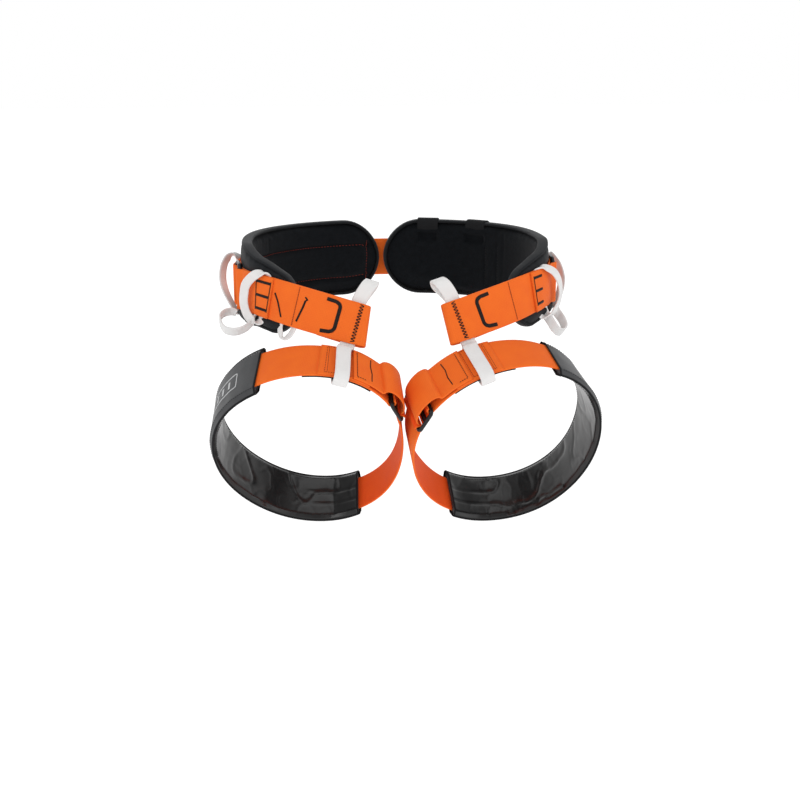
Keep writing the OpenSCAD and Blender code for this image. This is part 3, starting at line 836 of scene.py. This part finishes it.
for word, side, leg in SIDES:
    place, reach = waist_buckle_place()
    ring_frame(f"waist_frame_{word}", place, reach, WEB_WIDTH + 2.4, side, "belt", f"waist_buckle_{word}")
    grip_bar(f"waist_slider_{word}", place, reach, side, f"waist_bar_{word}", f"waist_bar_{word}")
    place, reach = leg_buckle_place(leg)
    ring_frame(f"leg_frame_{word}", place, reach, WEB_WIDTH + 2.4, side, f"leg_{word}", f"leg_buckle_{word}")
    grip_bar(f"leg_slider_{word}", place, reach, side, f"leg_bar_{word}", f"leg_bar_{word}")

# ---- Front straps ----

STRAP_TAIL, LINING_END = 129.7, 152


def front_strap(word, side):
    p, up, out = waist_place(BUCKLE_ANGLE)
    t = belt_tangent(BUCKLE_ANGLE)
    c = p + out * TURN_RADIUS
    tip, tip_up, tip_out = waist_place(FRONT_END)
    tip_t = belt_tangent(FRONT_END)
    tip_turn = (FOLD_GAP + WEB_THICK) / 2
    tip_c = tip - tip_out * tip_turn
    outer = spread(STRAP_TAIL, 106.5, 16)
    face = spread(BUCKLE_ANGLE + 1.3, FRONT_END - 0.3, 60)
    inner = spread(FRONT_END - 0.5, LINING_END, 14)
    turn = spread(210, 0, 12)
    tip_arc = spread(15, 165, 10)
    path = ([on_belt(a, 0, WEB_THICK + GAP) for a in outer]
            + [c + (-t * sind(d) - out * cosd(d)) * TURN_RADIUS for d in turn]
            + [waist_point(a) for a in face]
            + [tip_c + (tip_t * sind(d) + tip_out * cosd(d)) * tip_turn for d in tip_arc]
            + [on_belt(a, 0, -2 * tip_turn) for a in inner])
    across = ([waist_place(a)[1] for a in outer] + [up] * len(turn) + [waist_place(a)[1] for a in face]
              + [tip_up] * len(tip_arc) + [waist_place(a)[1] for a in inner])
    made = ribbon(f"front_webbing_{word}", path, across, WEB_WIDTH, WEB_THICK, side, 12,
                  finishes=[orange_polyester_webbing])
    finish_piece(made, f"strap_{word}", [f"front_strap_{word}"])


def strap_top(a, v, n):
    """The strap's outer face, with its doubled part by the buckle."""
    double = (WEB_THICK + GAP) * ease((STRAP_TAIL + 0.4 - a) / 0.8)
    return on_belt(a, v, WEB_THICK / 2 + 0.15 + double + n)


SHIFT = {1: -1.8, -1: 0.0}  # how far round the left strap's sewing differs, degrees
for word, side, leg in SIDES:
    front_strap(word, side)
    d = SHIFT[side]
    body = f"strap_{word}"
    bars = (123.2, 128.6) if side > 0 else (120.8, 128.9)
    dark = [r for v in (15, 0.5, -13.6) for r in satin(strap_top, [(bars[0], v), (bars[1], v)], 3.5)]
    dark += satin(strap_top, [(bars[1], -15), (bars[1], 16.5)], 1.2, 0.9)
    if side < 0:
        dark += satin(strap_top, [(bars[0], -15), (bars[0], 16.5)], 1.2, 0.9)
        dark += satin(strap_top, [(131.2, 6.8), (133.4, -1), (136.4, -15)], 2.2, 0.7)
        dark += satin(strap_top, [(144.9, 7.5), (144.6, 1), (143.5, -14.5)], 2.6, 0.7)
        dark += satin(strap_top, [(144.9, 8), (145.6, 9.6), (144.6, 11.5)], 1.8, 0.7)
    dark += satin(strap_top, [(152.6 + d, 16.6), (155.9 + d, 16.2), (157.2 + d, 14.4), (157.7 + d, 11.5),
                              (157.8 + d, -11),
                              (157.3 + d, -14), (156.2 + d, -15.8), (153.2 + d, -16.8)], 4.8)
    dark += zigzag(strap_top, (164.6 + d / 2, 20.6), (164.5 + d / 2, -20.4), 1.0, 1.7)
    finish_piece(threads(f"strap_bartacks_{word}", dark, 0.5, side, black_thread), body)
    fine = running(strap_top, [(141.4, 20.5), (142.0, -20.5)], 1.8, 0.9)
    finish_piece(threads(f"strap_stitching_{word}", fine, 0.45, side, rust_thread), body)
    rear = [r for v in (12, 0, -12) for r in satin(rear_top, [(79.5, v), (83.5, v)], 2.6)]
    finish_piece(threads(f"rear_bartacks_{word}", rear, 0.45, side, black_thread), "belt")

# ---- White tape: tie-in eyes, slings and gear loops ----

white = [white_polyethylene_tape]


def tape_piece(name, points, across, width, side, steps=6, thick=TAPE_THICK):
    path = smooth(points, steps)
    spans = len(points) - 1
    turned = []
    for i in range(len(path)):
        t = i / steps
        k = min(int(t), spans - 1)
        turned.append((across[k] * (1 - (t - k)) + across[k + 1] * (t - k)).normalized())
    return ribbon(name, path, turned, width, thick, side, 6, finishes=white)


def belt_tape(name, points, turns, side):
    """Gear-loop tape through (angle, height, outward distance) points. turns twists it about its length,
    in degrees, at each point."""
    across = [belt_tangent(p[0]) * cosd(d) + waist_place(p[0])[2] * sind(d) for p, d in zip(points, turns)]
    return tape_piece(name, [on_belt(*p) for p in points], across, LOOP_WIDTH, side, 7, LOOP_THICK)


def hang(made, side, root, reach, node):
    """Hides a loop's part in the model and bakes the tape's placement into its mesh; the end points worked out from
    root and reach are not used, and the tape is tied to no body.
    """
    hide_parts(node)
    a, v, n = root
    start, end = [Vector((p.x * side, p.y, p.z)) * MM for p in (on_belt(a, v, n), on_belt(a, v, n + reach))]
    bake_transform(made)


REAR_TAPE = {1: [(77.5, 6, 4.4), (77.8, 12, 4.4), (78.6, 17.5, 5.4), (81.5, 21, 9), (85, 17, 13), (88, 9.5,
                                                            17),
                 (90, -2, 18.8), (93, -12, 16.2), (96.5, -21, 12), (99.5, -27, 9), (100.5, -30, 8)],
             -1: [(75, 8, 2.8), (76, 14, 2.8), (77, 21, 4), (78, 25, 9.6), (80.5, 22.5, 16), (83, 14, 19.8),
                  (86.5, 3, 20.3), (90.5, -7, 17.5), (95, -16, 13), (98.5, -23, 9.5), (100.5, -28, 8)]}
FRONT_TAPE = {1: [(126, 10, -2.2), (125, 16, -2.2), (123.6, 21, -0.8), (121, 22.6, 3.8), (116.5, 16.5, 9.5),
                  (112, 6, 13),
                  (109, -5, 14), (108.5, -15, 13.6), (110.5, -23.5, 11.5), (114, -30, 8), (118, -32.5,
                                                            3), (121, -31, -1),
                  (122.5, -25, -2.2), (123, -18, -2.2)],
              -1: [(126, 10, -2.2), (125.6, 17, -2.2), (125, 22.6, -0.6), (124, 24.8, 3.6), (121.5, 21, 9),
                   (118, 11, 11.2),
                   (116, 0, 11.2), (115.4, -9.5, 11), (116.2, -19, 10), (118.6, -26.5, 7.6), (121.6, -29.4,
                                                            3.4), (123.8, -27.6, -0.6),
                   (124.6, -22, -2.2), (124.8, -15, -2.2)]}
LOW_TAPE = {1: [(117, -20, -2), (116.5, -26, -1), (116.4, -31, 2), (117.2, -38, 8.5), (117.4, -44.5, 13.5),
                (116, -49.3, 17.5),
                (113, -50, 20), (110, -46.5, 20), (107, -41.5, 17), (105, -37, 13), (104.6, -33.5,
                                                            10.2), (105, -30.5, 8.6)],
            -1: [(119, -19, -2), (118.6, -24, -1), (118.4, -29.5, 4), (119.4, -35, 13), (118.8, -37.5, 22.5),
                 (116.4, -38, 28.5),
                 (113.4, -37, 31.5), (110, -33.3, 31.5), (106.8, -28, 29.5), (104.6, -25, 24), (103.6, -24,
                                                            17), (103.8, -24.5, 12.4), (104.4, -26, 9.8)]}
LOW_AXIS = {1: Vector((0.58, -0.1, 0.81)), -1: Vector((0, -0.39, 0.92))}


for word, side, leg in SIDES:
    a, v = TAPE_ANGLE, HALF_WEB
    middle = (STRAND_OUT + STRAND_IN) / 2
    up_points = [(a, 0, STRAND_OUT), (a, 10, STRAND_OUT), (a, v - 1, STRAND_OUT), (a, v + 3,
                                                            STRAND_OUT + 0.4), (a + 0.5, v + 9, middle + 4.5),
                 (a + 1.5, v + 18, middle + 7.5), (a + 2.3, v + EYE_HEIGHT - 3, middle + 5.5), (a + 2.5,
                                                            v + EYE_HEIGHT, middle),
                 (a + 2.3, v + EYE_HEIGHT - 3, middle - 5.5), (a + 1.5, v + 18, middle - 7.5), (a + 0.5,
                                                            v + 9, middle - 4.5),
                 (a, v + 3, STRAND_IN - 0.4), (a, v - 1, STRAND_IN), (a, 10, STRAND_IN), (a, 0, STRAND_IN)]
    eye = tape_piece(f"tie_in_tape_{word}", [on_belt(*p) for p in up_points],
                     [belt_tangent(a)] * len(up_points), TAPE_WIDTH, side)
    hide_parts(f"tie_in_eye_{word}", f"tie_in_core_{word}")
    ends = [Vector((p.x * side, p.y, p.z)) * MM for p in (on_belt(a, 20, middle), on_belt(a, 27, middle))]
    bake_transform(eye)

    at = leg[7]
    p, w, out = leg_place(leg, at)
    outside = WEB_THICK / 2 + WEB_THICK + 2.6 + TAPE_THICK
    inside = -WEB_THICK / 2 - WEB_THICK - 1.4 - TAPE_THICK
    begin = on_belt(a, -v - 5, STRAND_OUT + 1)
    down = [on_belt(a, 0, STRAND_OUT), on_belt(a, -10, STRAND_OUT), on_belt(a, -v + 1, STRAND_OUT), begin,
            lerp(begin, p + w * 14 + out * outside, 0.4) + out * 2,
            p + w * 14 + out * outside, p - w * 6 + out * outside, p - w * (HALF_WEB - 1) + out * outside,
            p - w * (HALF_WEB + 5.5) + out * outside * 0.62,
            p - w * (HALF_WEB + 7) + out * (outside + inside) / 2,
            p - w * (HALF_WEB + 5.5) + out * inside * 0.62, p - w * (HALF_WEB - 1) + out * inside,
            p - w * 6 + out * inside, p + w * 14 + out * inside,
            p + w * (HALF_WEB + 1) + out * (inside + 0.5),
            on_belt(a, -v - 5, STRAND_IN), on_belt(a, -v + 1, STRAND_IN), on_belt(a, -10,
                                                            STRAND_IN), on_belt(a, 0, STRAND_IN)]
    along = -(leg_point(leg, at + 1) - leg_point(leg, at - 1)).normalized()
    count = len(down) - 1
    across = [(belt_tangent(a) * (1 - s) + along * s).normalized()
              for s in (clamp01((min(i, count - i) - 3) / 2.4) for i in range(count + 1))]
    sling = tape_piece(f"leg_sling_tape_{word}", down, across, TAPE_WIDTH, side)
    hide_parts(f"leg_sling_{word}")
    ends = [Vector((q.x * side, q.y, q.z)) * MM for q in (on_belt(a, -20, middle), on_belt(a, -28, middle))]
    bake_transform(sling)

    row = REAR_TAPE[side]
    made = belt_tape(f"rear_gear_tape_{word}", row, [0, 0] + [34] * (len(row) - 3) + [20], side)
    hang(made, side, (88, 0, 3), 9, f"gear_loop_rear_{word}")
    row = FRONT_TAPE[side]
    twist = -12 if side > 0 else -33
    made = belt_tape(f"front_gear_tape_{word}", row, [0, 0, 0,
                                                      twist / 2] + [twist] * (len(row) - 8) + [twist / 2, 0,
                                                            0, 0], side)
    hang(made, side, (120, -4, -1), 9, f"gear_loop_front_{word}")
    row = LOW_TAPE[side]
    made = tape_piece(f"low_gear_tape_{word}", [on_belt(*p) for p in row], [LOW_AXIS[side]] * len(row),
                      LOOP_WIDTH, side, 7, LOOP_THICK)
    hang(made, side, (112, -26, -1), 9, f"gear_loop_low_{word}")

tool_points = [(136.4, -16, -2.4), (136.4, -22, -2.4), (136.9, -28, -1.6), (138.4, -33.5, -0.4), (140.2, -35,
                                                            0), (142, -31.5, -0.6),
               (142.8, -24, -2.2), (142.8, -16, -2.4)]
made = tape_piece("tool_tape_right", [on_belt(*p) for p in tool_points],
                  [waist_place(140)[2] * 0.5 + belt_tangent(140) * 0.85] * len(tool_points),
                  8, -1, 7, 1.6)
finish_piece(made, "tool_loop_right", ["tool_loop_right"])

# ---- Leg loops ----


def leg_strip(name, leg, side, angles, n, width, thick, finishes, body, nodes=(), middle=0.0,
              columns=10):
    made = ribbon(name, [on_leg(leg, a, middle, n) for a in angles], [leg_place(leg, a)[1] for a in angles],
                  width, thick, side, columns, finishes=finishes)
    return finish_piece(made, body, nodes)


def leg_tail(word, side, leg):
    shape = [(-115, 4.3), (-120, 4.4), (-126, 4.4), (-131, 4.4), (-132.7, 4.7), (-133.1, 6), (-133.2, 8.6),
             (-134.4, 11.4), (-137, 13.4),
             (-141, 14), (-145.4, 12.8), (-148.7, 10), (-150.3, 7.4), (-150.6, 5.8)]
    points = [on_leg(leg, a, 0, n) for a, n in shape]
    made = tape_piece(f"thigh_tail_{word}", points, [leg_place(leg, a)[1] for a, n in shape], WEB_WIDTH - 1,
                      side, 6, 1.9)
    made.data.materials.clear()
    made.data.materials.append(orange_polyester_webbing)
    finish_piece(made, f"leg_{word}", [f"leg_tail_{word}"])
    # The tucked end takes the painted-shade copy of the orange webbing: darker and redder, as if in shade
    leg_strip(f"thigh_tuck_{word}", leg, side, spread(-150.6, -143.9, 8), 0.85, WEB_WIDTH - 1, 1.5,
              [orange_webbing_painted_shade],
              f"leg_{word}")


def leg_webbing(word, side, leg):
    p, w, out = leg_place(leg, LEG_BUCKLE)
    q, _, out2 = leg_place(leg, BACK_TURN)
    along = (leg_point(leg, LEG_BUCKLE + 1) - leg_point(leg, LEG_BUCKLE - 1)).normalized()
    along2 = (leg_point(leg, BACK_TURN + 1) - leg_point(leg, BACK_TURN - 1)).normalized()
    c, c2 = p + out * TURN_RADIUS, q + out2 * TURN_RADIUS
    face = spread(LEG_BUCKLE + 1.5, BACK_TURN - 1.5, 190)
    front_turn, rear_turn = spread(180, 0, 12), spread(0, 180, 12)
    path = ([c + (-along * sind(d) - out * cosd(d)) * TURN_RADIUS for d in front_turn]
            + [leg_point(leg, a) for a in face]
            + [c2 + (along2 * sind(d) - out2 * cosd(d)) * TURN_RADIUS for d in rear_turn])
    across = [leg_across(leg)] * 13 + [leg_place(leg, a)[1] for a in face] + [leg_across(leg)] * 13
    made = ribbon(f"thigh_webbing_{word}", path, across, WEB_WIDTH, WEB_THICK, side, 12)
    finish_piece(made, f"leg_{word}", [f"leg_webbing_{word}"])


SLEEVE_EDGE = 1.2


def crease(leg, a, v):
    """Folds pressed into the inner coated cloth."""
    s = a * 2.05
    seed = leg[1]
    broad = noise.noise(Vector((s / 46, v / 40, seed + 3)))
    ridge = 1 - abs(noise.noise(Vector((s / 30 + v / 60, v / 38 - s / 80, seed))) * 2.4)
    small = 1 - abs(noise.noise(Vector((s / 15, v / 20, seed + 7))) * 2.6)
    zone = 0.3 + 0.7 * bell(a - 62, 34)
    return 1.2 * broad + (1.9 * max(0, ridge) ** 4 + 0.5 * max(0, small) ** 4) * zone


def sleeve(word, side, leg):
    rings, slots = [], []
    rows, columns = 30, 200
    hw = SLEEVE_WIDTH / 2 - SLEEVE_EDGE
    for i in range(columns + 1):
        a = lerp(SLEEVE_FRONT + 0.4, SLEEVE_BACK - 0.4, i / columns)
        p, w, out = leg_place(leg, a)
        near_end = ease(min(i, columns - i) / 5)
        ring = []
        for j in range(rows + 1):
            v = lerp(-hw, hw, j / rows)
            edge = ease((hw - abs(v)) / 7)
            wave = 0.35 * noise.noise(Vector((a / 7, v / 20, leg[2])))
            ring.append(p + w * v + out * lerp(-0.9, 2.3 + wave, edge))
        for j in range(rows + 1):
            v = lerp(hw, -hw, j / rows)
            edge = ease((hw - abs(v)) / 6)
            lines = (1.1 * bell(v - 6.5, 1.2) + 0.9 * bell(v + 10.5, 1.2)) * ease((a - 78) / 16)
            ring.append(p + w * v + out * lerp(-2.6, -5.6 + (crease(leg, a, v) * near_end + lines), edge))
        rings.append(ring)
        slots += [0] * rows + [0] + [1] * rows + [0]
    verts, faces = loft(rings, False)
    slots = slots[:columns * (2 * rows + 2)] + [0, 0]
    made = piece(f"thigh_sleeve_{word}", verts, faces, side, [satin_pvc, glossy_pvc], slots)
    finish_piece(made, f"leg_{word}", [f"sleeve_{layer}_{word}" for layer in ("cover", "foam",
                                                            "liner")])
    return made


sleeves = {}
for word, side, leg in SIDES:
    body = f"leg_{word}"
    leg_webbing(word, side, leg)
    leg_tail(word, side, leg)
    leg_strip(f"band_reinforcement_{word}", leg, side, spread(-127, -89, 24), -WEB_THICK / 2 - GAP - 0.9,
              WEB_WIDTH - 6, 1.8,
              [black_polyamide_tape], body, [f"band_backing_{word}"], -2.6)
    leg_strip(f"band_overlap_{word}", leg, side, spread(-124.6, -97, 16), WEB_THICK / 2 + GAP + 0.9,
              WEB_WIDTH - 0.5, 1.8,
              [orange_polyester_webbing], body, [f"band_overlay_{word}"], -0.3)
    padding = sleeves[side] = sleeve(word, side, leg)
    hw = SLEEVE_WIDTH / 2 - SLEEVE_EDGE
    for tag, s in (("upper", 1), ("lower", -1)):
        angles = spread(SLEEVE_FRONT, SLEEVE_BACK, 110)
        leg_strip(f"sleeve_edge_{tag}_{word}", leg, side, angles, -1.7, 2.4, 2.4, [black_polyamide_tape],
                  body,
                  [f"sleeve_binding_{word}"] if s > 0 else (), s * (hw + 0.1), 2)
    for tag, a in (("front", SLEEVE_FRONT), ("back", SLEEVE_BACK)):
        outlined = [(v, lerp(-0.6, 2.4, ease((hw - abs(v)) / 7))) for v in spread(-hw, hw, 20)]
        outlined += [(v, lerp(-3.0, -5.9, ease((hw - abs(v)) / 6))) for v in spread(hw, -hw, 20)]
        path = [on_leg(leg, a, v, n) for v, n in outlined]
        t = (leg_point(leg, a + 1) - leg_point(leg, a - 1)).normalized()
        made = ribbon(f"sleeve_end_{tag}_{word}", path, [t] * len(path), 2.2, 0.8, side, 3, True,
                      finishes=[black_polyamide_tape])
        finish_piece(made, body)

    def outer_face(a, v, n):
        return on_leg(leg, a, v, 6 + n)

    def inner_face(a, v, n):
        return on_leg(leg, a, v, -9 - n)

    ends = (SLEEVE_FRONT + 2, SLEEVE_BACK - 2)
    lines = [r for v in (hw - 4, 4 - hw) for face in (outer_face, inner_face)
             for r in running(face, [(lerp(*ends, i / 24), v) for i in range(25)], 3.2)]
    finish_piece(threads(f"sleeve_stitching_{word}", settle(lines, padding, side, 0.1), 0.28, side,
                         grey_thread), body)

    def band_top(a, v, n):
        lift = 1.85 * ease((-96.6 - a) / 0.8) * ease((a + 125) / 0.8)
        return on_leg(leg, a, v, WEB_THICK / 2 + GAP + lift + n)

    def tail_top(a, v, n):
        return on_leg(leg, a, v, 5.5 + n)

    fine = running(band_top, [(-101.6, 18), (-101.9, -19)], 2.2) + box_stitch(band_top, -114.0, -100.6, -19,
                                                            19)
    finish_piece(threads(f"band_stitching_{word}", fine, 0.3, side, rust_thread), body)
    dark = satin(tail_top, [(-125.6, 16), (-125.0, 6), (-125.7, -4), (-125.2, -15)], 1.3, 0.8)
    dark += running(tail_top, [(-117, 18), (-117, -18), (-122, -18)], 2.4)
    finish_piece(threads(f"band_bartack_{word}", dark, 0.4, side, black_thread), body)

# Plain printed tag on the right sleeve's outer face: a rounded frame round three blank bars
corners = [(-41, -9), (-16, -9), (-15, -8), (-15, 8), (-16, 9), (-41, 9), (-42, 8), (-42, -8), (-41, -9)]


def print_face(a, v, n):
    return on_leg(LEG_RIGHT, a, v, 6 + n)


verts, faces = [], []
strokes = [(corners, 1.3)] + [([(a, -4.5), (a, 4.5)], 3.6) for a in (-35, -28.5, -22)]
for line, wide in strokes:
    spots = trace(print_face, line, 1.5)
    for i, (p, n) in enumerate(spots):
        ahead = (spots[min(i + 1, len(spots) - 1)][0] - spots[max(i - 1, 0)][0]).normalized()
        across = n.cross(ahead).normalized() * wide / 2
        left, right, normal = settle([(p - across, p + across, n)], sleeves[-1], -1, 0.25)[0]
        verts += [left, right, right - normal * 0.35, left - normal * 0.35]
        if i:
            b = len(verts) - 8
            faces += [(b + k, b + (k + 1) % 4, b + 4 + (k + 1) % 4, b + 4 + k) for k in range(4)]
        if i in (0, len(spots) - 1):
            b = len(verts) - 4
            faces.append((b, b + 1, b + 2, b + 3))
tag = piece("printed_tag_right", verts, faces, -1, [grey_print])
finish_piece(tag, "leg_right", ["label_right"])

# ---- Camera, floor and light ----

CAMERA_TURN, CAMERA_HEIGHT, CAMERA_DISTANCE = -6.8, 15.8, 1514
TARGET = Vector((5.3, 0, -138))
SENSOR, LENS = 36, 60.08
look = Vector((sind(CAMERA_TURN) * cosd(CAMERA_HEIGHT), -cosd(CAMERA_TURN) * cosd(CAMERA_HEIGHT),
               sind(CAMERA_HEIGHT)))
camera_data = bpy.data.cameras.new("camera")
camera_data.lens, camera_data.sensor_width = LENS, SENSOR
camera = bpy.data.objects.new("camera", camera_data)
camera.location = (TARGET + look * CAMERA_DISTANCE) * MM
camera.rotation_euler = (-look).to_track_quat("-Z", "Y").to_euler()
bpy.context.scene.collection.objects.link(camera)
bpy.context.scene.camera = camera

scene = bpy.context.scene
scene.view_settings.view_transform = "Standard"
scene.view_settings.look = "None"

# The leg loops hang up to 9 mm lower when they swing forward, so the floor leaves room for that.
FLOOR_DROP = 15 * MM
FLOOR_SIZE = 16

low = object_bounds()[0][2]
bpy.ops.mesh.primitive_plane_add(size=FLOOR_SIZE, location=(0, 0, low - FLOOR_DROP))
floor = bpy.context.object
floor.name = "floor"


def painted_floor(tree):
    """Matt white paint: very even."""
    return {"Base Color": tint(tree, patches(tree, 300), "9A9A9A", "A0A0A0"), "Roughness": 0.9,
            "Emission Color": (1, 1, 1, 1), "Emission Strength": 0.85}


floor.data.materials.append(finish_of("matt_white_paint", painted_floor))

world = bpy.data.worlds.new("studio")
world.use_nodes = True
tree = world.node_tree
tree.nodes.clear()
# A pale studio sweep: white round the horizon, dimmer overhead
height = add(tree, "ShaderNodeSeparateXYZ", {0: add(tree,
                                                    "ShaderNodeTexCoord").outputs["Generated"]}).outputs["Z"]
level = add(tree, "ShaderNodeMapRange", {"Value": height, 1: 0.22, 2: 0.7, 3: 1.0, 4: 0.42},
            interpolation_type="SMOOTHSTEP").outputs[0]
sweep = add(tree, "ShaderNodeBackground", {"Color": (1, 1, 1, 1), "Strength": level})
add(tree, "ShaderNodeOutputWorld", {"Surface": sweep.outputs[0]})
scene.world = world

for name, place, size, watts in (("key", (-1.1, -1.5, 1.5), 1.1, 11.5), ("fill", (1.7, -1.2, 0.7), 1.6, 8),
                                 ("top", (0.2, 0.5, 1.9), 1.8, 11), ("back", (-0.4, 2.0, 0.9), 1.6, 6)):
    data = bpy.data.lights.new(name, "AREA")
    data.shape, data.size, data.energy = "SQUARE", size, watts
    light = bpy.data.objects.new(name, data)
    light.location = place
    light.rotation_euler = (Vector((0, 0, -0.1)) - Vector(place)).to_track_quat("-Z", "Y").to_euler()
    scene.collection.objects.link(light)
